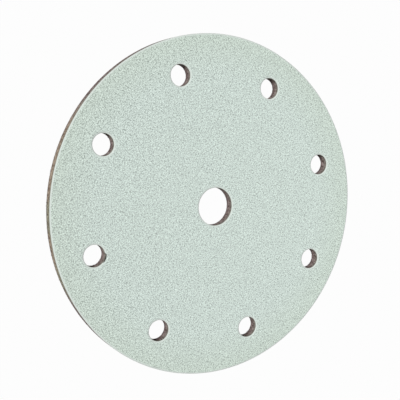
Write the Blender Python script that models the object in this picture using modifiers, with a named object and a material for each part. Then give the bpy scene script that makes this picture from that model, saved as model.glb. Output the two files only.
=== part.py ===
"""Hook and loop sanding disc with a foam cushion, eight dust holes and a centre hole.

The disc is a laminate of three webs that are glued together and then punched in one stroke: a sheet that
carries the grain, a foam cushion, and a loop fabric that grips the hooks of a sander's pad. It lies flat on
its loops with the grain facing up. The origin is on the disc's axis, in the plane that the loops rest on.
"""

import math

import bpy

# Driving dimensions, in metres
DISC_DIAMETER = 0.152
HOLE_CENTRE_TO_RIM = 0.016  # puts the dust holes on a circle of 120 mm, where the pad has its ports
DUST_HOLE_COUNT = 8
DUST_HOLE_DIAMETER = 0.0094
CENTRE_HOLE_DIAMETER = 0.017
LOOP_THICKNESS = 0.0008
FOAM_THICKNESS = 0.0035
SHEET_THICKNESS = 0.0004
GLUE_LINE = 0.00005  # the adhesive that fills the space between two webs

# What the punch leaves along every cut edge, in metres
SHEET_ROLL = 0.00015  # radius of the grain side's edge, which the punch draws down
FOAM_WAIST = 0.0002  # how far the squeezed foam stands back from the cut at half its height
LOOP_ROUND = 0.0003  # radius of the pile's edge on the pad side

# Fineness of the round shapes
RIM_SEGMENTS = 144
CENTRE_HOLE_SEGMENTS = 48
DUST_HOLE_SEGMENTS = 32
ROUND_STEPS = 2
WAIST_STEPS = 4

MERGE_DISTANCE = 0.00001  # closer points of a turned shape are one point
SHARP_ANGLE = math.radians(40)

# Colour as linear red, green and blue, and roughness
GRAIN_FINISH = ((0.59, 0.67, 0.62), 0.9)
FOAM_FINISH = ((0.27, 0.22, 0.19), 0.95)
LOOP_FINISH = ((0.24, 0.21, 0.19), 1.0)


def clear_scene():
    """Removes every object, so that the scene holds only the disc."""
    for obj in list(bpy.data.objects):
        bpy.data.objects.remove(obj, do_unlink=True)


def new_collection(name, parent):
    """A collection inside another one."""
    collection = bpy.data.collections.new(name)
    parent.children.link(collection)
    return collection


def rolled_edge(thickness, radius):
    """A cut edge as (setback, height) points from the bottom up, rounded where it meets the top face."""
    edge = [(0.0, 0.0)]
    for step in range(ROUND_STEPS + 1):
        turn = math.pi / 2 * step / ROUND_STEPS
        edge.append((radius * (1 - math.cos(turn)), thickness - radius * (1 - math.sin(turn))))
    return edge


def rounded_foot_edge(thickness, radius):
    """A cut edge as (setback, height) points from the bottom up, rounded where it meets the bottom face."""
    upside_down = rolled_edge(thickness, radius)
    return [(setback, thickness - height) for setback, height in reversed(upside_down)]


def waisted_edge(thickness, waist):
    """A cut edge as (setback, height) points from the bottom up, hollow by the waist at half its height."""
    edge = []
    for step in range(WAIST_STEPS + 1):
        share = step / WAIST_STEPS
        edge.append((waist * (1 - (2 * share - 1) ** 2), thickness * share))
    return edge


def blank_outline(edge):
    """The outline of a full round web, from the axis at the top down its rim to the axis at the bottom."""
    rim_radius = DISC_DIAMETER / 2
    rim = [(rim_radius - setback, height) for setback, height in reversed(edge)]
    return [(0.0, rim[0][1]), *rim, (0.0, rim[-1][1])]


def punch_outline(edge, hole_radius):
    """The outline of what a punch takes out: the hole with its edge, carried past both faces by its depth."""
    wall = [(hole_radius + setback, height) for setback, height in reversed(edge)]
    depth = wall[0][1] - wall[-1][1]
    top = wall[0][1] + depth
    bottom = wall[-1][1] - depth
    return [(0.0, top), (wall[0][0], top), *wall, (wall[-1][0], bottom), (0.0, bottom)]


def turned_profile(name, outline):
    """A mesh that holds an outline of (radius, height) points, as one open line in the XZ plane."""
    mesh = bpy.data.meshes.new(name)
    points = [(radius, 0.0, height) for radius, height in outline]
    lines = [(first, first + 1) for first in range(len(points) - 1)]
    mesh.from_pydata(points, lines, [])
    return mesh


def turned(name, profile, segments, collection):
    """A solid made by turning a profile once about its own Z axis."""
    obj = bpy.data.objects.new(name, profile)
    collection.objects.link(obj)
    screw = obj.modifiers.new("turn", "SCREW")
    screw.axis = "Z"
    screw.angle = 2 * math.pi
    screw.steps = segments
    screw.render_steps = segments
    screw.use_merge_vertices = True
    screw.merge_threshold = MERGE_DISTANCE
    return obj


def punches(web_name, edge, height, cutters):
    """The hidden cutters of one web, a centre punch and a ring of dust punches, as a collection."""
    tools = new_collection(web_name + "_punches", cutters)
    centre_profile = turned_profile(web_name + "_centre_punch", punch_outline(edge, CENTRE_HOLE_DIAMETER / 2))
    centre = turned(web_name + "_centre_punch", centre_profile, CENTRE_HOLE_SEGMENTS, tools)
    centre.location.z = height
    dust_profile = turned_profile(web_name + "_dust_punch", punch_outline(edge, DUST_HOLE_DIAMETER / 2))
    circle_radius = DISC_DIAMETER / 2 - HOLE_CENTRE_TO_RIM
    for index in range(DUST_HOLE_COUNT):
        bearing = 2 * math.pi * index / DUST_HOLE_COUNT
        punch = turned(f"{web_name}_dust_punch_{index + 1}", dust_profile, DUST_HOLE_SEGMENTS, tools)
        punch.location = (circle_radius * math.cos(bearing), circle_radius * math.sin(bearing), height)
        punch.rotation_euler.z = bearing
    for tool in tools.objects:
        tool.hide_render = True
        tool.display_type = "WIRE"
    return tools


def fix_mesh(obj):
    """Turns an object's modifiers into its mesh, shaded smooth round its curves and sharp at its corners."""
    graph = bpy.context.evaluated_depsgraph_get()
    mesh = bpy.data.meshes.new_from_object(obj.evaluated_get(graph))
    profile = obj.data
    obj.modifiers.clear()
    obj.data = mesh
    mesh.name = obj.name
    bpy.data.meshes.remove(profile)
    mesh.shade_smooth()
    mesh.set_sharp_from_angle(angle=SHARP_ANGLE)


def material(name, finish):
    """A Principled material of one colour and roughness."""
    colour, roughness = finish
    made = bpy.data.materials.new(name)
    made.use_nodes = True
    shader = made.node_tree.nodes["Principled BSDF"]
    shader.inputs["Base Color"].default_value = (*colour, 1.0)
    shader.inputs["Roughness"].default_value = roughness
    shader.inputs["Metallic"].default_value = 0.0
    return made


def punched_web(name, edge, height, disc, cutters):
    """One layer of the laminate: a turned blank at its height in the disc, with its holes punched out."""
    blank = turned(name, turned_profile(name, blank_outline(edge)), RIM_SEGMENTS, disc)
    blank.location.z = height
    cut = blank.modifiers.new("punch", "BOOLEAN")
    cut.operation = "DIFFERENCE"
    cut.operand_type = "COLLECTION"
    cut.collection = punches(name, edge, height, cutters)
    cut.solver = "EXACT"
    fix_mesh(blank)
    return blank


def build_disc():
    """The three webs, from the pad side up, on one empty that marks the disc's axis."""
    scene_root = bpy.context.scene.collection
    disc = new_collection("hook_and_loop_sanding_disc", scene_root)
    cutters = new_collection("cutters", scene_root)
    axis = bpy.data.objects.new("disc_axis", None)
    disc.objects.link(axis)
    foam_height = LOOP_THICKNESS + GLUE_LINE
    sheet_height = foam_height + FOAM_THICKNESS + GLUE_LINE
    webs = (
        ("loop_backing", rounded_foot_edge(LOOP_THICKNESS, LOOP_ROUND), 0.0, LOOP_FINISH),
        ("foam_cushion", waisted_edge(FOAM_THICKNESS, FOAM_WAIST), foam_height, FOAM_FINISH),
        ("abrasive_sheet", rolled_edge(SHEET_THICKNESS, SHEET_ROLL), sheet_height, GRAIN_FINISH),
    )
    for name, edge, height, finish in webs:
        layer = punched_web(name, edge, height, disc, cutters)
        layer.parent = axis
        layer.data.materials.clear()
        layer.data.materials.append(material(name, finish))


clear_scene()
build_disc()
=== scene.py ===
"""A foam backed hook and loop sanding disc, lying on its loops with the grain up.

The disc is a laminate of three webs: a coated abrasive in pale green, a brown-grey foam cushion and a knitted
loop fabric. One stroke of a punch cuts the rim and the nine holes through all of them.
"""

from __future__ import annotations

import logging
import math
import random
from collections.abc import Sequence
from dataclasses import dataclass, field
from enum import Enum

import bmesh
import bpy
from mathutils import Euler, Matrix, Quaternion, Vector, noise

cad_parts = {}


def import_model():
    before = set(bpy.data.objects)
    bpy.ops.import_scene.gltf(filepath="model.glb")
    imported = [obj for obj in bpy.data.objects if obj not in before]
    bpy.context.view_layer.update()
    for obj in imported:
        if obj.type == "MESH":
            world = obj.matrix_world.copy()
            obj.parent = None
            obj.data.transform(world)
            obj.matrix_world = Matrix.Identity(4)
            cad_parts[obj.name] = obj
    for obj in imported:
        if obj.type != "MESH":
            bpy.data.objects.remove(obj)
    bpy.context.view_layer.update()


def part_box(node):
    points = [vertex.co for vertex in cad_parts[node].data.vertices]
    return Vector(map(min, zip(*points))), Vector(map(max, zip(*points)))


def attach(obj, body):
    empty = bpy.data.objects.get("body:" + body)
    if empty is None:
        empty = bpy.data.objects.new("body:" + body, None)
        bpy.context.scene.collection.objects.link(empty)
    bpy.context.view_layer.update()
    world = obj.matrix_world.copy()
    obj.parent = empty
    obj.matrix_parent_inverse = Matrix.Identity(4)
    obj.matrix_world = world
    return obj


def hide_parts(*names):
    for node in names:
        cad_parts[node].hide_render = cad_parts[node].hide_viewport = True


LOG = logging.getLogger("sanding_disc")
MM = 0.001
SHARP_ANGLE = math.radians(50)  # edges of a web that turn further than this are shaded as corners


class Side(Enum):
    """The side of a round cut that the web is on."""

    WITHIN = 1
    AROUND = -1


@dataclass(frozen=True)
class Cut:
    """One round cut through the webs: the rim, or a hole.

    Attributes:
        x: The middle of the circle, in metres.
        y: The middle of the circle, in metres.
        radius: The circle's radius, in metres.
        side: The side of the circle that the web is on.
    """

    x: float
    y: float
    radius: float
    side: Side

    def setback(self, point: Vector) -> float:
        """How far a point lies inside the web from this cut, in metres, and below zero past the cut."""
        reach = math.hypot(point.x - self.x, point.y - self.y)
        return (self.radius - reach) * self.side.value

    def moved(self, point: Vector, setback: float) -> Vector:
        """Moves a point along its radius of this cut.

        Args:
            point: A point at any height.
            setback: The distance from the cut into the web, in metres.

        Returns:
            The point at that setback, at its own height.
        """
        outward = Vector((point.x - self.x, point.y - self.y, 0.0)).normalized()
        spot = outward * (self.radius - setback * self.side.value)
        return Vector((self.x + spot.x, self.y + spot.y, point.z))


@dataclass
class PunchPattern:
    """The circles that the punch cuts through every web.

    Attributes:
        rim_radius: The disc's radius, in metres.
        hole_centre_to_rim: From the middle of a dust hole to the rim, in metres.
        dust_hole_count: How many dust holes stand in the ring.
        dust_hole_radius: The radius of a dust hole, in metres.
        centre_hole_radius: The radius of the hole in the middle, in metres.
        cuts: The rim, the centre hole and the dust holes, in that order.
    """

    rim_radius: float
    hole_centre_to_rim: float = 16 * MM
    dust_hole_count: int = 8
    dust_hole_radius: float = 4.7 * MM
    centre_hole_radius: float = 8.5 * MM
    cuts: list[Cut] = field(init=False)

    def __post_init__(self) -> None:
        """Lays out the circles."""
        circle = self.rim_radius - self.hole_centre_to_rim
        bearings = [math.tau * index / self.dust_hole_count for index in range(self.dust_hole_count)]
        self.cuts = [
            Cut(0.0, 0.0, self.rim_radius, Side.WITHIN),
            Cut(0.0, 0.0, self.centre_hole_radius, Side.AROUND),
            *(
                Cut(circle * math.cos(turn), circle * math.sin(turn), self.dust_hole_radius, Side.AROUND)
                for turn in bearings
            ),
        ]

    def nearest(self, point: Vector) -> Cut:
        """The cut that a point is nearest to, or furthest past."""
        return min(self.cuts, key=lambda cut: cut.setback(point))

    def area(self) -> float:
        """The flat area that is left of a web, in square metres."""
        return math.pi * sum(cut.side.value * cut.radius**2 for cut in self.cuts)


def linear(hex_colour: str) -> tuple[float, float, float, float]:
    """Turns an sRGB colour into the linear one that Blender's sockets take, by the standard's own formula.

    Args:
        hex_colour: Six hexadecimal digits, as in C9D5CE.

    Returns:
        Linear red, green and blue with an alpha of 1.
    """
    levels = [int(hex_colour[start : start + 2], 16) / 255 for start in (0, 2, 4)]
    red, green, blue = (
        level / 12.92 if level <= 0.04045 else ((level + 0.055) / 1.055) ** 2.4 for level in levels
    )
    return red, green, blue, 1.0


def add_node(
    tree: bpy.types.NodeTree, kind: str, inputs: dict[str | int, object] | None = None, **settings: object
) -> bpy.types.Node:
    """Adds a node to a tree.

    Args:
        tree: The tree that gets the node.
        kind: The node's type name.
        inputs: A value, or the output socket to link, for each input by its name or number.
        settings: The node's own properties.

    Returns:
        The new node.
    """
    node = tree.nodes.new(kind)
    for name, value in settings.items():
        setattr(node, name, value)
    for key, value in (inputs or {}).items():
        if isinstance(value, bpy.types.NodeSocket):
            tree.links.new(value, node.inputs[key])
        else:
            node.inputs[key].default_value = value
    return node


def empty_material(name: str) -> tuple[bpy.types.Material, bpy.types.NodeTree]:
    """A new material and its tree, with no nodes in it."""
    material = bpy.data.materials.new(name)
    material.use_nodes = True
    material.node_tree.nodes.clear()
    return material, material.node_tree


@dataclass(frozen=True)
class CoatedAbrasiveFinish:
    """Aluminium oxide grit under a stearate topcoat: a chalky pale green, speckled by the clumps of grit.

    The punch draws the coat down along each cut. That line is smooth and painted paler than the coat: partly
    its own colour, partly a painted highlight along the edge. The backing paper's edge shows below it,
    painted darker than the paper, partly as painted shade.

    Attributes:
        coat: The colour of the topcoat over most of the face.
        outer_coat: The colour near the rim, a little darker and yellower than the coat.
        outer_from: The distance from the axis at which that change starts.
        outer_to: The distance from the axis at which the outer colour is reached.
        drawn_highlight: The paler colour of the line that the punch draws down along a cut, partly a painted
            highlight.
        paper: The colour of the backing paper's cut edge, darker than the paper itself, partly as painted
            shade.
        crack_shade: The painted shade inside a crack of the coat.
        clump: The distance between two clumps of grit.
        disorder: How freely the clumps are strewn, from 0 for a square grid to 1 for no order at all.
        clump_shade_contrast: The painted shade and light of the clumps, darker gaps and lighter middles, as a
            share of the mean.
        grit: The width of a grain of grit, about twice the real one, so that it shows.
        grit_contrast: How far a grain's brightness strays from the mean, as a share of it.
        mean_reach: The mean distance from the nearest clump, as a share of the distance between two.
        bump: The height of a grain.
        shine: How much light the surface mirrors, where 0.5 is bare plastic.
        roughness: How dull the surface is, from 0 for polished to 1 for chalk.
    """

    coat: str = "CBD8D1"
    outer_coat: str = "C7D4CA"
    outer_from: float = 58 * MM
    outer_to: float = 75 * MM
    drawn_highlight: str = "D3DCD6"
    paper: str = "8F9285"
    crack_shade: str = "333A34"
    clump: float = 0.6 * MM
    disorder: float = 0.8
    clump_shade_contrast: float = 0.37
    grit: float = 0.2 * MM
    grit_contrast: float = 0.29
    mean_reach: float = 0.417
    bump: float = 0.05 * MM
    shine: float = 0.3
    roughness: float = 0.88

    def material(self) -> bpy.types.Material:
        """The material of the grain face and of the sheet's cut edge."""
        material, tree = empty_material("coated_abrasive_stearate")
        place = add_node(tree, "ShaderNodeTexCoord").outputs["Object"]
        reach = add_node(tree, "ShaderNodeVectorMath", {0: place}, operation="LENGTH")
        outer = add_node(
            tree,
            "ShaderNodeMapRange",
            {"Value": reach.outputs["Value"], "From Min": self.outer_from, "From Max": self.outer_to},
        )
        coat = add_node(
            tree,
            "ShaderNodeMix",
            {"Factor": outer.outputs["Result"], "A": linear(self.coat), "B": linear(self.outer_coat)},
            data_type="RGBA",
        )
        clumps = add_node(
            tree,
            "ShaderNodeTexVoronoi",
            {"Vector": place, "Scale": 1 / self.clump, "Randomness": self.disorder},
            voronoi_dimensions="2D",
        )
        # painted shade and light: darker in the gaps between the clumps, lighter at their middles
        clump_shade = add_node(
            tree,
            "ShaderNodeMapRange",
            {
                "Value": clumps.outputs["Distance"],
                "From Max": 2 * self.mean_reach,
                "To Min": 1 + self.clump_shade_contrast,
                "To Max": 1 - self.clump_shade_contrast,
            },
            clamp=False,
        )
        grit = add_node(tree, "ShaderNodeTexVoronoi", {"Vector": place, "Scale": 1 / self.grit})
        shade = add_node(tree, "ShaderNodeSeparateColor", {"Color": grit.outputs["Color"]})
        facets = add_node(
            tree,
            "ShaderNodeMapRange",
            {
                "Value": shade.outputs["Red"],
                "To Min": 1 - self.grit_contrast,
                "To Max": 1 + self.grit_contrast,
            },
        )
        level = add_node(
            tree,
            "ShaderNodeMath",
            {0: clump_shade.outputs["Result"], 1: facets.outputs["Result"]},
            operation="MULTIPLY",
        )
        speckled = add_node(
            tree,
            "ShaderNodeVectorMath",
            {0: coat.outputs["Result"], "Scale": level.outputs[0]},
            operation="SCALE",
        )
        colour = speckled.outputs["Vector"]
        # partly painted light over the speckle: the drawn line is paler as a highlight, the paper edge darker
        # as shade
        layers = (
            (AbrasiveSheet.DRAWN_HIGHLIGHT, self.drawn_highlight),
            (AbrasiveSheet.BARED, self.paper),
            # painted shade inside the crack of the chip
            (AbrasiveSheet.CRACK_SHADE, self.crack_shade),
        )
        for attribute, laid_over in layers:
            share = add_node(tree, "ShaderNodeAttribute", attribute_name=attribute)
            colour = add_node(
                tree,
                "ShaderNodeMix",
                {"Factor": share.outputs["Fac"], "A": colour, "B": linear(laid_over)},
                data_type="RGBA",
            ).outputs["Result"]
        relief = add_node(
            tree,
            "ShaderNodeBump",
            {"Strength": 1.0, "Distance": self.bump, "Height": grit.outputs["Distance"]},
            invert=True,
        )
        shader = add_node(
            tree,
            "ShaderNodeBsdfPrincipled",
            {
                "Base Color": colour,
                "Roughness": self.roughness,
                "Specular IOR Level": self.shine,
                "Normal": relief.outputs["Normal"],
            },
        )
        add_node(tree, "ShaderNodeOutputMaterial", {"Surface": shader.outputs["BSDF"]})
        return material


@dataclass(frozen=True)
class FoamFinish:
    """Open-cell polyester foam, die cut: ribs round hollows with painted shade, where the punch opened the
    cells.

    The ribs are a warm grey under the sheet, and darker and more maroon towards the loops. On the side of the
    rim that faces the light they are painted lighter, as painted light: olive in some stretches and brown in
    others.

    Attributes:
        upper: The two colours that the ribs drift between under the sheet, away from the painted light.
        lower: The two colours that they drift between over the loops, away from the painted light.
        lit_olive: The two colours of painted light that they drift between where the lit side of the rim is
            olive.
        lit_brown: The two colours of painted light that they drift between where it is brown.
        hollow_shade: The painted shade inside the cells that the punch cut open.
        rim_from: The distance from the axis past which the foam counts as the rim.
        light_bearing: The bearing of the side of the rim that gets the painted light, in degrees.
        light_from: How far a point of the rim lies towards the light where the painted light starts.
        light_to: How far it lies towards the light where the painted light is full.
        patch: The width of a patch of one rib colour.
        patch_blend: The levels of the noise between which a patch turns from its first colour to its second.
        stretch: The length of an olive or brown stretch of the rim.
        stretch_blend: The levels of the noise between which a stretch turns from olive to brown.
        draw: The number of the draw that says where the stretches lie.
        cell: The width of the fine cells, which the mesh is too coarse for.
        bump: The depth of those fine cells.
        shine: How much light the surface mirrors, where 0.5 is bare plastic.
        roughness: How dull the surface is, from 0 for polished to 1 for chalk.
    """

    upper: tuple[str, str] = ("ABA39B", "878078")
    lower: tuple[str, str] = ("958381", "6F5E5C")
    lit_olive: tuple[str, str] = ("AAA690", "868171")
    lit_brown: tuple[str, str] = ("B2A391", "8E7D6F")
    hollow_shade: str = "40342F"
    rim_from: float = 70 * MM
    light_bearing: float = 294.0
    light_from: float = 62 * MM
    light_to: float = 70 * MM
    patch: float = 1.1 * MM
    patch_blend: tuple[float, float] = (0.42, 0.58)
    stretch: float = 22 * MM
    stretch_blend: tuple[float, float] = (0.46, 0.54)
    draw: float = 6.0
    cell: float = 0.3 * MM
    bump: float = 0.1 * MM
    shine: float = 0.2
    roughness: float = 0.95

    def painted_light_share(self, tree: bpy.types.NodeTree, place: bpy.types.NodeSocket) -> bpy.types.NodeSocket:
        """How much painted light a point gets: 0 off the rim's lit side, and 1 on the side that faces the
        light.

        Args:
            tree: The material's tree.
            place: The output that gives the point.

        Returns:
            The output that gives the share.
        """
        reach = add_node(tree, "ShaderNodeVectorMath", {0: place}, operation="LENGTH")
        rim = add_node(
            tree,
            "ShaderNodeMath",
            {0: reach.outputs["Value"], 1: self.rim_from},
            operation="GREATER_THAN",
        )
        light = math.radians(self.light_bearing)
        towards = add_node(
            tree,
            "ShaderNodeVectorMath",
            {0: place, 1: (math.cos(light), math.sin(light), 0.0)},
            operation="DOT_PRODUCT",
        )
        lit = add_node(
            tree,
            "ShaderNodeMapRange",
            {"Value": towards.outputs["Value"], "From Min": self.light_from, "From Max": self.light_to},
        )
        painted_light = add_node(
            tree, "ShaderNodeMath", {0: rim.outputs[0], 1: lit.outputs["Result"]}, operation="MULTIPLY"
        )
        return painted_light.outputs[0]

    def rib_colour(
        self, tree: bpy.types.NodeTree, place: bpy.types.NodeSocket, bottom: float, top: float
    ) -> bpy.types.NodeSocket:
        """The colour of the ribs between the opened cells.

        Args:
            tree: The material's tree.
            place: The output that gives the point.
            bottom: The height of the foam's underside, in metres.
            top: The height of its upper face, in metres.

        Returns:
            The output that gives the colour.
        """
        patches = add_node(
            tree,
            "ShaderNodeTexNoise",
            {"Vector": place, "Scale": 1 / self.patch, "Detail": 2.0, "Roughness": 0.6},
        )
        low, high = self.patch_blend
        share = add_node(
            tree, "ShaderNodeMapRange", {"Value": patches.outputs["Fac"], "From Min": low, "From Max": high}
        )
        over, under, olive, brown = (
            add_node(
                tree,
                "ShaderNodeMix",
                {"Factor": share.outputs["Result"], "A": linear(pair[0]), "B": linear(pair[1])},
                data_type="RGBA",
            ).outputs["Result"]
            for pair in (self.upper, self.lower, self.lit_olive, self.lit_brown)
        )
        stretches = add_node(
            tree,
            "ShaderNodeTexNoise",
            {"Vector": place, "W": self.draw, "Scale": 1 / self.stretch, "Detail": 1.0},
            noise_dimensions="4D",
        )
        low, high = self.stretch_blend
        brown_share = add_node(
            tree,
            "ShaderNodeMapRange",
            {"Value": stretches.outputs["Fac"], "From Min": low, "From Max": high},
        )
        outer = add_node(
            tree,
            "ShaderNodeMix",
            {"Factor": brown_share.outputs["Result"], "A": olive, "B": brown},
            data_type="RGBA",
        )
        height = add_node(tree, "ShaderNodeSeparateXYZ", {0: place})
        rise = add_node(
            tree, "ShaderNodeMapRange", {"Value": height.outputs["Z"], "From Min": bottom, "From Max": top}
        )
        inner = add_node(
            tree,
            "ShaderNodeMix",
            {"Factor": rise.outputs["Result"], "A": under, "B": over},
            data_type="RGBA",
        )
        # painted light: the rim's side towards the light takes the lighter olive and brown colours
        ribs = add_node(
            tree,
            "ShaderNodeMix",
            {
                "Factor": self.painted_light_share(tree, place),
                "A": inner.outputs["Result"],
                "B": outer.outputs["Result"],
            },
            data_type="RGBA",
        )
        return ribs.outputs["Result"]

    def material(self, bottom: float, top: float) -> bpy.types.Material:
        """The material of the cut walls.

        Args:
            bottom: The height of the foam's underside, in metres.
            top: The height of its upper face, in metres.

        Returns:
            The material.
        """
        material, tree = empty_material("open_cell_foam")
        place = add_node(tree, "ShaderNodeTexCoord").outputs["Object"]
        ribs = self.rib_colour(tree, place, bottom, top)
        # painted shade: the opened cells and the glued faces darken towards the shade colour
        hollow_shade_share = add_node(tree, "ShaderNodeAttribute", attribute_name=FoamWeb.HOLLOW_SHADE)
        colour = add_node(
            tree,
            "ShaderNodeMix",
            {"Factor": hollow_shade_share.outputs["Fac"], "A": ribs, "B": linear(self.hollow_shade)},
            data_type="RGBA",
        )
        cells = add_node(tree, "ShaderNodeTexVoronoi", {"Vector": place, "Scale": 1 / self.cell})
        relief = add_node(
            tree,
            "ShaderNodeBump",
            {"Strength": 1.0, "Distance": self.bump, "Height": cells.outputs["Distance"]},
        )
        shader = add_node(
            tree,
            "ShaderNodeBsdfPrincipled",
            {
                "Base Color": colour.outputs["Result"],
                "Roughness": self.roughness,
                "Specular IOR Level": self.shine,
                "Normal": relief.outputs["Normal"],
            },
        )
        add_node(tree, "ShaderNodeOutputMaterial", {"Surface": shader.outputs["BSDF"]})
        return material


class WebMesh:
    """The closed mesh of one punched web, made from its top face, down its cut edges, to its underside."""

    def __init__(self, pattern: PunchPattern) -> None:
        """Starts an empty mesh for a web of this pattern."""
        self.pattern = pattern
        self.bm = bmesh.new()

    def open_edges(self) -> list[bmesh.types.BMEdge]:
        """The edges that so far have a face on one side only."""
        return [edge for edge in self.bm.edges if edge.is_boundary]

    def lay_fine_face(self, pitch: float, setback: float, height: float) -> None:
        """Makes a face of small squares, with its outer ones fitted to the cuts.

        Args:
            pitch: The side of a square, in metres.
            setback: How far the face ends from each cut, in metres.
            height: The face's height, in metres.
        """
        cells = 2 * math.ceil(self.pattern.rim_radius / pitch)
        sliver = 0.2 * pitch
        level = Matrix.Translation((0.0, 0.0, height))
        bmesh.ops.create_grid(
            self.bm, x_segments=cells, y_segments=cells, size=cells * pitch / 2, matrix=level
        )
        nearest = self.pattern.nearest
        past = [vert for vert in self.bm.verts if nearest(vert.co).setback(vert.co) < setback + sliver]
        bmesh.ops.delete(self.bm, geom=past, context="VERTS")
        loose = [vert for vert in self.bm.verts if not vert.link_faces]
        bmesh.ops.delete(self.bm, geom=loose, context="VERTS")
        for vert in self.bm.verts:
            if vert.is_boundary:
                vert.co = nearest(vert.co).moved(vert.co, setback)

    def lay_plain_face(self, pitch: float, setback: float, height: float) -> None:
        """Makes a face that is fine only along its cuts.

        Args:
            pitch: The length of an edge along a cut, in metres.
            setback: How far the face ends from each cut, in metres.
            height: The face's height, in metres.
        """
        for cut in self.pattern.cuts:
            radius = cut.radius - setback * cut.side.value
            bmesh.ops.create_circle(
                self.bm,
                segments=round(math.tau * radius / pitch),
                radius=radius,
                matrix=Matrix.Translation((cut.x, cut.y, height)),
            )
        bmesh.ops.triangle_fill(self.bm, edges=self.bm.edges[:], use_beauty=True)

    def draw_wall(self, edge: Sequence[tuple[float, float]]) -> None:
        """Draws the open edges down the cuts.

        Args:
            edge: The wall's (setback, height) points from the top down, in metres.
        """
        for setback, height in edge:
            made = bmesh.ops.extrude_edge_only(self.bm, edges=self.open_edges())["geom"]
            for vert in (item for item in made if isinstance(item, bmesh.types.BMVert)):
                vert.co = self.pattern.nearest(vert.co).moved(vert.co, setback)
                vert.co.z = height

    def close(self) -> None:
        """Fills the underside and points every face outwards."""
        bmesh.ops.triangle_fill(self.bm, edges=self.open_edges(), use_beauty=True)
        bmesh.ops.recalc_face_normals(self.bm, faces=self.bm.faces[:])

    def to_object(self, name: str) -> bpy.types.Object:
        """Turns the mesh into an object of the scene.

        Args:
            name: The name of the object and of its mesh.

        Returns:
            The object, at the origin.
        """
        mesh = bpy.data.meshes.new(name)
        self.bm.to_mesh(mesh)
        self.bm.free()
        mesh.shade_smooth()
        mesh.set_sharp_from_angle(angle=SHARP_ANGLE)
        made = bpy.data.objects.new(name, mesh)
        bpy.context.scene.collection.objects.link(made)
        return made


@dataclass(frozen=True)
class Chip:
    """A stretch of a cut where the coat has crumbled away from the edge.

    Attributes:
        cut: The number of the cut in the punch pattern.
        bearing: The bearing of the stretch's middle from the middle of its hole, in degrees.
        half_width: Half the angle that the stretch takes, in degrees.
        depth: How far the coat has crumbled at most, in metres.
        tooth: The angle that one ragged tooth of the stretch takes, in degrees.
        shallowest: The depth of the shallowest tooth, as a share of the full depth.
        spread: How far past the cut the coat is pushed back, as a multiple of the full depth.
        crack_shade_gain: How many times deeper the full depth is than one where the crack's painted shade is
            full.
    """

    cut: int = 9
    bearing: float = 104.0
    half_width: float = 27.0
    depth: float = 0.62 * MM
    tooth: float = 6.0
    shallowest: float = 0.2
    spread: float = 2.0
    crack_shade_gain: float = 3.0

    def bite(self, cut: Cut, point: Vector) -> float:
        """How far the edge has crumbled at a point of this cut, in metres."""
        bearing = math.degrees(math.atan2(point.y - cut.y, point.x - cut.x))
        off = abs((bearing - self.bearing + 180) % 360 - 180) / self.half_width
        if off >= 1:
            return 0.0
        ragged = random.Random(round(bearing / self.tooth)).uniform(self.shallowest, 1.0)
        return self.depth * ragged * (1 - off**2) ** 0.5


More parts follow.
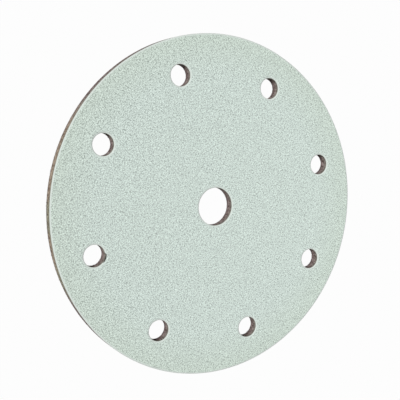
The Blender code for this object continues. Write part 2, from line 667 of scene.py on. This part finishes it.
@dataclass
class AbrasiveSheet:
    """The coated abrasive: a paper with clumps of grit on its upper face.

    Attributes:
        pattern: The circles that are cut through it.
        bottom: The height of its underside, in metres.
        top: The height of its highest clumps, in metres.
        pitch: The distance between two clumps, in metres.
        relief: How deep the hollows between the clumps are, in metres.
        stray: How far a clump strays from its place, as a share of the pitch.
        seed: The seed of the clumps' random draws.
        drawn_edge: How the punch draws the coat down, as (setback, drop) points towards the cut, in metres.
        drawn_share: The share of the drawn edge's width that is painted paler, partly as a painted highlight.
        chip: The crumbled stretch at one dust hole.
        finish: The material of the sheet.
    """

    DRAWN_HIGHLIGHT = "drawn_highlight"
    BARED = "bared"
    CRACK_SHADE = "crack_shade"

    pattern: PunchPattern
    bottom: float
    top: float
    pitch: float = 0.5 * MM
    relief: float = 0.06 * MM
    stray: float = 0.3
    seed: int = 7
    drawn_edge: tuple[tuple[float, float], ...] = (
        (0.75 * MM, 0.0),
        (0.55 * MM, 0.03 * MM),
        (0.38 * MM, 0.08 * MM),
        (0.24 * MM, 0.14 * MM),
        (0.12 * MM, 0.2 * MM),
        (0.0, 0.28 * MM),
    )
    drawn_share: float = 0.9
    chip: Chip = Chip()
    finish: CoatedAbrasiveFinish = CoatedAbrasiveFinish()

    def build(self) -> bpy.types.Object:
        """Builds and dresses the sheet, in place of the plain one."""
        web = WebMesh(self.pattern)
        web.lay_fine_face(self.pitch, self.drawn_edge[0][0], self.top)
        self.scatter_clumps(web.bm)
        web.draw_wall(
            [*((setback, self.top - drop) for setback, drop in self.drawn_edge[1:]), (0.0, self.bottom)]
        )
        web.close()
        self.mark_edges(web.bm)
        self.crumble(web.bm)
        made = web.to_object("grain_sheet")
        made.data.materials.append(self.finish.material())
        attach(made, "root")
        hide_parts("abrasive_sheet")
        return made

    def scatter_clumps(self, bm: bmesh.types.BMesh) -> None:
        """Moves the inner points of the face about, as clumps of grit lie, and sinks the hollows."""
        dice = random.Random(self.seed)
        stray = self.stray * self.pitch
        for vert in bm.verts:
            if vert.is_boundary:
                continue
            vert.co.x += dice.uniform(-stray, stray)
            vert.co.y += dice.uniform(-stray, stray)
            vert.co.z -= dice.uniform(0.0, self.relief)

    def mark_edges(self, bm: bmesh.types.BMesh) -> None:
        """Notes the drawn coat and the bared paper: one partly a painted highlight, the other partly painted
        shade.
        """
        drawn_highlight = bm.verts.layers.float.new(self.DRAWN_HIGHLIGHT)
        bared = bm.verts.layers.float.new(self.BARED)
        width = self.drawn_share * self.drawn_edge[0][0]
        lowest = self.top - self.drawn_edge[-1][1]
        tolerance = 0.01 * MM
        for vert in bm.verts:
            vert[drawn_highlight] = float(self.pattern.nearest(vert.co).setback(vert.co) < width)
            vert[bared] = float(vert.co.z < lowest + tolerance)

    def crumble(self, bm: bmesh.types.BMesh) -> None:
        """Bites the crumbled stretch out of the edge of its hole, with a crack along it that gets a painted
        shade.
        """
        crack_shade = bm.verts.layers.float.new(self.CRACK_SHADE)
        chip = self.chip
        cut = self.pattern.cuts[chip.cut]
        reach = chip.spread * chip.depth
        crack = self.drawn_edge[2][0]
        for vert in bm.verts:
            setback = cut.setback(vert.co)
            bite = chip.bite(cut, vert.co) if setback < reach else 0.0
            if bite:
                vert.co = cut.moved(vert.co, setback + bite * (1 - setback / reach))
                # painted shade: the crack darkens with the depth of the bite
                vert[crack_shade] = min(1.0, chip.crack_shade_gain * bite / chip.depth) if setback < crack else 0.0


@dataclass
class FoamWeb:
    """The foam cushion: a thick web whose cut walls show its opened cells.

    Attributes:
        pattern: The circles that are cut through it.
        bottom: The height of its underside, in metres.
        top: The height of its upper face, in metres.
        pitch: The size of the squares of its walls, in metres.
        waist: How far the squeezed foam stands back from the cut at half its height, in metres.
        cell: The width of a large cell, in metres.
        depth: How deep an opened cell is, in metres.
        slope: How steeply a cell deepens away from its ribs, in full depths for each width of a cell.
        rib: What is taken off that, as a share of the full depth, so that a rib keeps its crest.
        flat_shade: Painted shade on the glued faces, which no punch opened: a painted shadow line at the
            wall's top and foot.
        finish: The material of the foam.
    """

    HOLLOW_SHADE = "hollow_shade"
    SCRAMBLE = (1e4, 2e4)  # large factors that turn the middle of a cell into a number of its own

    pattern: PunchPattern
    bottom: float
    top: float
    pitch: float = 0.22 * MM
    waist: float = 0.2 * MM
    cell: float = 0.85 * MM
    depth: float = 0.3 * MM
    slope: float = 2.5
    rib: float = 0.1
    flat_shade: float = 0.35
    finish: FoamFinish = FoamFinish()

    def build(self) -> bpy.types.Object:
        """Builds and dresses the foam, in place of the plain one."""
        web = WebMesh(self.pattern)
        web.lay_plain_face(self.pitch, 0.0, self.top)
        web.draw_wall(self.waisted_edge())
        web.close()
        self.open_cells(web.bm)
        made = web.to_object("foam_web")
        made.data.materials.append(self.finish.material(self.bottom, self.top))
        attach(made, "root")
        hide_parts("foam_cushion")
        return made

    def waisted_edge(self) -> list[tuple[float, float]]:
        """The wall's (setback, height) points from just under the top down, hollow in the middle."""
        thickness = self.top - self.bottom
        rows = round(thickness / self.pitch)
        shares = [row / rows for row in range(1, rows + 1)]
        return [
            (self.waist * (1 - (2 * share - 1) ** 2), self.top - thickness * share) for share in shares
        ]

    def open_cells(self, bm: bmesh.types.BMesh) -> None:
        """Sinks the opened cells into the walls, and notes their depth, by which the finish paints shade in
        them.
        """
        layer = bm.verts.layers.float.new(self.HOLLOW_SHADE)
        for vert in bm.verts:
            # painted shade: a fixed share on the glued faces, which shows as a line at the wall's top and
            # foot
            if not self.bottom < vert.co.z < self.top:
                vert[layer] = self.flat_shade
                continue
            reach, middles = noise.voronoi(vert.co / self.cell)
            scrambled = self.SCRAMBLE[0] * middles[0].x + self.SCRAMBLE[1] * middles[0].y
            openness = 0.5 + 0.5 * math.sin(scrambled)
            hollow_shade = openness * min(1.0, max(0.0, (reach[1] - reach[0]) * self.slope - self.rib))
            cut = self.pattern.nearest(vert.co)
            vert.co = cut.moved(vert.co, cut.setback(vert.co) + self.depth * hollow_shade)
            vert[layer] = hollow_shade


@dataclass(frozen=True)
class LoopYarnFinish:
    """Brushed nylon yarn: a warm grey, soft and dull, a little lighter where it catches the light.

    Attributes:
        name: The material's name.
        yarn: The colour of the yarn.
        strand: The width of a strand's shading along the knit, in metres.
        contrast: How far a strand's brightness strays from the mean, as a share of it.
        shine: How much light the yarn mirrors, where 0.5 is bare plastic.
        sheen: How much light the fine hairs of the yarn catch along its edges.
        roughness: How dull the yarn is, from 0 for polished to 1 for chalk.
    """

    name: str
    yarn: str
    strand: float = 0.5 * MM
    contrast: float = 0.4
    shine: float = 0.3
    sheen: float = 0.2
    roughness: float = 0.9

    def material(self) -> bpy.types.Material:
        """The material of the knit or of its loops."""
        material, tree = empty_material(self.name)
        place = add_node(tree, "ShaderNodeTexCoord").outputs["Object"]
        strands = add_node(
            tree,
            "ShaderNodeTexNoise",
            {"Vector": place, "Scale": 1 / self.strand, "Detail": 2.0},
        )
        level = add_node(
            tree,
            "ShaderNodeMapRange",
            {
                "Value": strands.outputs["Fac"],
                "To Min": 1 - self.contrast,
                "To Max": 1 + self.contrast,
            },
            clamp=False,
        )
        colour = add_node(
            tree,
            "ShaderNodeVectorMath",
            {0: linear(self.yarn)[:3], "Scale": level.outputs["Result"]},
            operation="SCALE",
        )
        shader = add_node(
            tree,
            "ShaderNodeBsdfPrincipled",
            {
                "Base Color": colour.outputs["Vector"],
                "Roughness": self.roughness,
                "Specular IOR Level": self.shine,
                "Sheen Weight": self.sheen,
            },
        )
        add_node(tree, "ShaderNodeOutputMaterial", {"Surface": shader.outputs["BSDF"]})
        return material


@dataclass
class LoopFabric:
    """The loop fabric: a knitted ground with a pile of brushed loops under it.

    Attributes:
        pattern: The circles that are cut through it.
        bottom: The height that the loops rest on, in metres.
        top: The height of the ground's upper face, in metres.
        ground: The height of the ground's underside, where it is thickest, in metres.
        relief: How far the ground's underside rises between its stitches, in metres.
        fray: The least and the greatest height of the ends of the cut stitches over the bottom, in metres.
        hem: How far from a cut the ground's underside turns up into its wall, in metres.
        pitch: The size of the squares of the ground's faces, in metres.
        knit_seed: The seed of the random draws of the ground.
        course: The distance between two loops in a row, in metres.
        stray: How far a loop strays from its place in the row, as a share of that distance.
        clearance: How far the middle of a loop in a row stays from a cut, as a share of its width.
        tilt: The least and the greatest angle that a loop of a row leans over, in radians.
        twist: How far a loop of a row turns out of its row, in radians.
        twist_stray: How far that turn strays, in radians.
        fringe: The distance between two loops along a cut, in metres.
        fringe_stray: How far a loop strays along its cut, as a share of that distance.
        fringe_setback: The least and the greatest distance from a loop of the fringe to its cut, in metres.
        fringe_tilt: The least and the greatest angle that a loop of the fringe leans over, in radians.
        fringe_size: The size of a loop of the fringe, as a share of the others'.
        pile_seed: The seed of the random draws of the loops.
        yarn: The radius of a loop's yarn, in metres.
        yarn_sides: The number of sides of the yarn's section.
        loop_width: The width of a loop, in metres.
        loop_steps: The number of straight lengths that a loop is bent from.
        ground_finish: The material of the ground.
        loop_finish: The material of the loops.
    """

    pattern: PunchPattern
    bottom: float
    top: float
    ground: float = 0.14 * MM
    relief: float = 0.25 * MM
    fray: tuple[float, float] = (0.02 * MM, 0.2 * MM)
    hem: float = 0.1 * MM
    pitch: float = 0.8 * MM
    knit_seed: int = 5
    course: float = 1.05 * MM
    stray: float = 0.25
    clearance: float = 0.55
    tilt: tuple[float, float] = (1.1, 1.4)
    twist: float = 0.6
    twist_stray: float = 0.5
    fringe: float = 0.7 * MM
    fringe_stray: float = 0.3
    fringe_setback: tuple[float, float] = (0.4 * MM, 0.8 * MM)
    fringe_tilt: tuple[float, float] = (0.9, 1.4)
    fringe_size: float = 0.8
    pile_seed: int = 11
    yarn: float = 0.06 * MM
    yarn_sides: int = 3
    loop_width: float = 1.15 * MM
    loop_steps: int = 4
    ground_finish: LoopYarnFinish = LoopYarnFinish("knitted_nylon_ground", "584E4A")
    loop_finish: LoopYarnFinish = LoopYarnFinish("brushed_nylon_loop", "8C827D")

    def build(self) -> list[bpy.types.Object]:
        """Builds and dresses the ground and its loops, in place of the plain slab."""
        knit = self.knit()
        knit.data.materials.append(self.ground_finish.material())
        dice = random.Random(self.pile_seed)
        rows = self.rows(dice)
        yarn = self.loop_finish.material()
        piles = [
            self.pile("loop_pile_front_bar", rows[::2]),
            self.pile("loop_pile_back_bar", rows[1::2]),
            self.pile("loop_pile_edges", self.fringes(dice)),
        ]
        for pile in piles:
            pile.data.materials.append(yarn)
        for piece in (knit, *piles):
            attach(piece, "root")
            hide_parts("loop_backing")
        self.pattern.area()
        return [knit, *piles]

    def knit(self) -> bpy.types.Object:
        """The ground, with its stitches on its underside."""
        web = WebMesh(self.pattern)
        web.lay_fine_face(self.pitch, self.hem, self.ground)
        dice = random.Random(self.knit_seed)
        for vert in web.bm.verts:
            if vert.is_boundary:
                vert.co.z = self.bottom + dice.uniform(*self.fray)
            else:
                vert.co.z += dice.uniform(0.0, self.relief)
        web.draw_wall([(0.0, (self.ground + self.top) / 2), (0.0, self.top)])
        web.close()
        return web.to_object("loop_knit")

    def loop_shape(self) -> bpy.types.Mesh:
        """One closed loop of yarn that hangs from the origin, as a small mesh."""
        bm = bmesh.new()
        across = Matrix.Translation((self.loop_width / 2, 0.0, 0.0))
        bmesh.ops.create_circle(bm, segments=self.yarn_sides, radius=self.yarn, matrix=across)
        bmesh.ops.spin(
            bm,
            geom=[*bm.verts, *bm.edges],
            cent=(0.0, 0.0, 0.0),
            axis=(0.0, 1.0, 0.0),
            angle=math.pi,
            steps=self.loop_steps,
            use_merge=False,
        )
        bmesh.ops.holes_fill(bm, edges=[edge for edge in bm.edges if edge.is_boundary])
        mesh = bpy.data.meshes.new("loop_shape")
        bm.to_mesh(mesh)
        bm.free()
        return mesh

    def rows(self, dice: random.Random) -> list[Matrix]:
        """Where each loop of the knitted rows hangs, and how it leans.

        Args:
            dice: The source of the small irregularities.

        Returns:
            One placement for each loop, row by row, so that every second one belongs to the same bar.
        """
        places: list[Matrix] = []
        height = self.ground + self.yarn
        count = math.ceil(self.pattern.rim_radius / self.course)
        for wale in range(-count, count + 1):
            for course in range(-count, count + 1):
                stray = [dice.uniform(-self.stray, self.stray) * self.course for _ in range(2)]
                spot = Vector((wale * self.course + stray[0], course * self.course + stray[1], height))
                if self.pattern.nearest(spot).setback(spot) < self.clearance * self.loop_width:
                    continue
                side = 1 if (wale + course) % 2 else -1
                tilt = side * dice.uniform(*self.tilt)
                twist = side * self.twist + dice.uniform(-self.twist_stray, self.twist_stray)
                places.append(Matrix.LocRotScale(spot, Euler((tilt, 0.0, twist)), None))
        return places

    def fringes(self, dice: random.Random) -> list[Matrix]:
        """Where each loop along the cuts hangs, and how it leans.

        Args:
            dice: The source of the small irregularities.

        Returns:
            One placement for each loop.
        """
        places: list[Matrix] = []
        height = self.ground + self.yarn
        size = Vector((self.fringe_size, self.fringe_size, self.fringe_size))
        for cut in self.pattern.cuts:
            count = round(math.tau * cut.radius / self.fringe)
            for number in range(count):
                stray = dice.uniform(-self.fringe_stray, self.fringe_stray)
                bearing = math.tau * (number + stray) / count
                start = Vector((cut.x + math.cos(bearing), cut.y + math.sin(bearing), height))
                spot = cut.moved(start, dice.uniform(*self.fringe_setback))
                tilt = dice.uniform(*self.fringe_tilt) * dice.choice((-1, 1))
                lean = Euler((tilt, 0.0, bearing + math.pi / 2))
                places.append(Matrix.LocRotScale(spot, lean, size))
        return places

    def pile(self, name: str, places: Sequence[Matrix]) -> bpy.types.Object:
        """Hangs a loop at each place, down to what the disc rests on.

        Args:
            name: The name of the object and of its mesh.
            places: Where the loops hang and how they lean.

        Returns:
            The loops as one object.
        """
        shape = self.loop_shape()
        bm = bmesh.new()
        for place in places:
            shape.transform(place)
            bm.from_mesh(shape)
            shape.transform(place.inverted())
        bpy.data.meshes.remove(shape)
        for vert in bm.verts:
            vert.co.z = min(max(vert.co.z, self.bottom), self.top)
        bmesh.ops.recalc_face_normals(bm, faces=bm.faces[:])
        mesh = bpy.data.meshes.new(name)
        bm.to_mesh(mesh)
        bm.free()
        mesh.shade_smooth()
        made = bpy.data.objects.new(name, mesh)
        bpy.context.scene.collection.objects.link(made)
        return made


def seen_directly(tree: bpy.types.NodeTree) -> bpy.types.NodeSocket:
    """The output that is 1 where a surface is seen straight on, mirrored or through glass, and else 0."""
    rays = add_node(tree, "ShaderNodeLightPath").outputs
    seen = rays["Is Camera Ray"]
    for other in ("Is Glossy Ray", "Is Transmission Ray"):
        seen = add_node(tree, "ShaderNodeMath", {0: seen, 1: rays[other]}, operation="MAXIMUM").outputs[0]
    return seen


@dataclass(frozen=True)
class StudioFloorFinish:
    """Grey seamless paper. The camera sees it as white, with only a light shadow of the disc.

    Attributes:
        paper: The paper's colour, which is dark enough that little light comes back up into the holes.
        wash: The share of plain white in what the camera sees, from 0 to 1.
    """

    paper: str = "595959"
    wash: float = 0.98

    def material(self) -> bpy.types.Material:
        """The material of the floor."""
        material, tree = empty_material("grey_paper_floor")
        share = add_node(
            tree, "ShaderNodeMath", {0: seen_directly(tree), 1: self.wash}, operation="MULTIPLY"
        )
        paper = add_node(tree, "ShaderNodeBsdfDiffuse", {"Color": linear(self.paper)})
        white = add_node(tree, "ShaderNodeEmission", {"Color": (1.0, 1.0, 1.0, 1.0), "Strength": 1.0})
        mix = add_node(
            tree,
            "ShaderNodeMixShader",
            {0: share.outputs[0], 1: paper.outputs["BSDF"], 2: white.outputs["Emission"]},
        )
        add_node(tree, "ShaderNodeOutputMaterial", {"Surface": mix.outputs["Shader"]})
        return material


@dataclass(frozen=True)
class Lamp:
    """A square softbox that is aimed at the disc.

    Attributes:
        name: The lamp's name.
        bearing: The bearing that it shines from, in degrees.
        elevation: The height that it shines from, in degrees.
        distance: From the lamp to the disc, in metres.
        size: The side of the softbox, in metres.
        level: The share of a white face's full brightness that it gives a face that looks straight up.
    """

    name: str
    bearing: float
    elevation: float
    distance: float
    size: float
    level: float

    def build(self) -> bpy.types.Object:
        """Sets the lamp up."""
        turn, rise = math.radians(self.bearing), math.radians(self.elevation)
        away = Vector((math.cos(turn) * math.cos(rise), math.sin(turn) * math.cos(rise), math.sin(rise)))
        lamp = bpy.data.lights.new(self.name, "AREA")
        lamp.size = self.size
        lamp.energy = self.level * (math.pi * self.distance) ** 2 / math.sin(rise)
        stand = bpy.data.objects.new(self.name, lamp)
        stand.location = away * self.distance
        stand.rotation_mode = "QUATERNION"
        stand.rotation_quaternion = (-away).to_track_quat("-Z", "Y")
        bpy.context.scene.collection.objects.link(stand)
        return stand


@dataclass(frozen=True)
class Studio:
    """The floor, the even white room and two softboxes.

    Attributes:
        floor_size: The side of the floor, in metres.
        room_light: The brightness of the room, where what the camera sees of it is 1.
        lamps: The softboxes. The first stands low on the side that the picture is taken from, so that it
            reaches into the holes, and the second stands high on the other side.
    """

    floor_size: float = 6.0
    room_light: float = 0.18
    lamps: tuple[Lamp, ...] = (
        Lamp("low_softbox", bearing=279.0, elevation=35.0, distance=4.0, size=1.0, level=0.53),
        Lamp("high_softbox", bearing=110.0, elevation=60.0, distance=0.6, size=0.4, level=0.32),
    )

    def build(self) -> None:
        """Builds the studio."""
        self.lay_floor()
        for lamp in self.lamps:
            lamp.build()
        self.light_room()

    def lay_floor(self) -> None:
        """Lays the floor that the disc rests on."""
        bm = bmesh.new()
        bmesh.ops.create_grid(bm, x_segments=1, y_segments=1, size=self.floor_size / 2)
        mesh = bpy.data.meshes.new("studio_floor")
        bm.to_mesh(mesh)
        bm.free()
        floor = bpy.data.objects.new("studio_floor", mesh)
        floor.data.materials.append(StudioFloorFinish().material())
        bpy.context.scene.collection.objects.link(floor)

    def light_room(self) -> None:
        """Makes the room around the disc, which is dimmer than the white that the camera sees of it."""
        world = bpy.data.worlds.new("white_room")
        bpy.context.scene.world = world
        world.use_nodes = True
        tree = world.node_tree
        tree.nodes.clear()
        level = add_node(
            tree,
            "ShaderNodeMapRange",
            {"Value": seen_directly(tree), "To Min": self.room_light, "To Max": 1.0},
        )
        light = add_node(
            tree, "ShaderNodeBackground", {"Color": (1.0, 1.0, 1.0, 1.0), "Strength": level.outputs["Result"]}
        )
        add_node(tree, "ShaderNodeOutputWorld", {"Surface": light.outputs["Background"]})


@dataclass(frozen=True)
class PhotoCamera:
    """The camera at the photograph's viewing angle, found by fitting the rim and the nine holes.

    Attributes:
        sensor_width: The width of the sensor, in millimetres.
        focal_length: The focal length of the lens, in millimetres.
        distance: From the camera to the aimed point, in metres.
        azimuth: The bearing that the camera looks from, in degrees.
        elevation: The height that it looks from, in degrees.
        roll: The camera's turn about its own line of sight, in degrees.
        aim: The point of the grain face in the middle of the picture, in metres.
        clip: The nearest and the furthest distance that the camera sees, in metres.
    """

    sensor_width: float = 36.0
    focal_length: float = 64.37
    distance: float = 0.3155
    azimuth: float = 15.83
    elevation: float = 60.68
    roll: float = 100.85
    aim: tuple[float, float] = (0.79 * MM, -8.63 * MM)
    clip: tuple[float, float] = (0.01, 20.0)

    def build(self, height: float) -> None:
        """Sets the camera up.

        Args:
            height: The height of the grain face, in metres.
        """
        turn, rise = math.radians(self.azimuth), math.radians(self.elevation)
        back = Vector((math.sin(turn) * math.cos(rise), -math.cos(turn) * math.cos(rise), math.sin(rise)))
        lens = bpy.data.cameras.new("photo_camera")
        lens.sensor_width = self.sensor_width
        lens.lens = self.focal_length
        lens.clip_start, lens.clip_end = self.clip
        camera = bpy.data.objects.new("photo_camera", lens)
        camera.location = Vector((*self.aim, height)) + back * self.distance
        camera.rotation_mode = "QUATERNION"
        level = (-back).to_track_quat("-Z", "Y")
        camera.rotation_quaternion = level @ Quaternion((0.0, 0.0, 1.0), math.radians(self.roll))
        bpy.context.scene.collection.objects.link(camera)
        bpy.context.scene.camera = camera


def main() -> None:
    """Builds the disc, its studio and its camera."""
    logging.basicConfig(level=logging.INFO, format="%(name)s: %(message)s")
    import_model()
    sheet_low, sheet_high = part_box("abrasive_sheet")
    foam_low, foam_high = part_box("foam_cushion")
    loop_low, loop_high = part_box("loop_backing")
    pattern = PunchPattern(rim_radius=sheet_high.x)

    pieces = [
        AbrasiveSheet(pattern, bottom=sheet_low.z, top=sheet_high.z).build(),
        FoamWeb(pattern, bottom=foam_low.z, top=foam_high.z).build(),
        *LoopFabric(pattern, bottom=loop_low.z, top=loop_high.z).build(),
    ]
    for piece in pieces:
        LOG.info("%s: %d points, %d faces", piece.name, len(piece.data.vertices), len(piece.data.polygons))

    Studio().build()
    PhotoCamera().build(sheet_high.z)
    bpy.context.scene.view_settings.view_transform = "Standard"


if __name__ == "__main__":
    main()
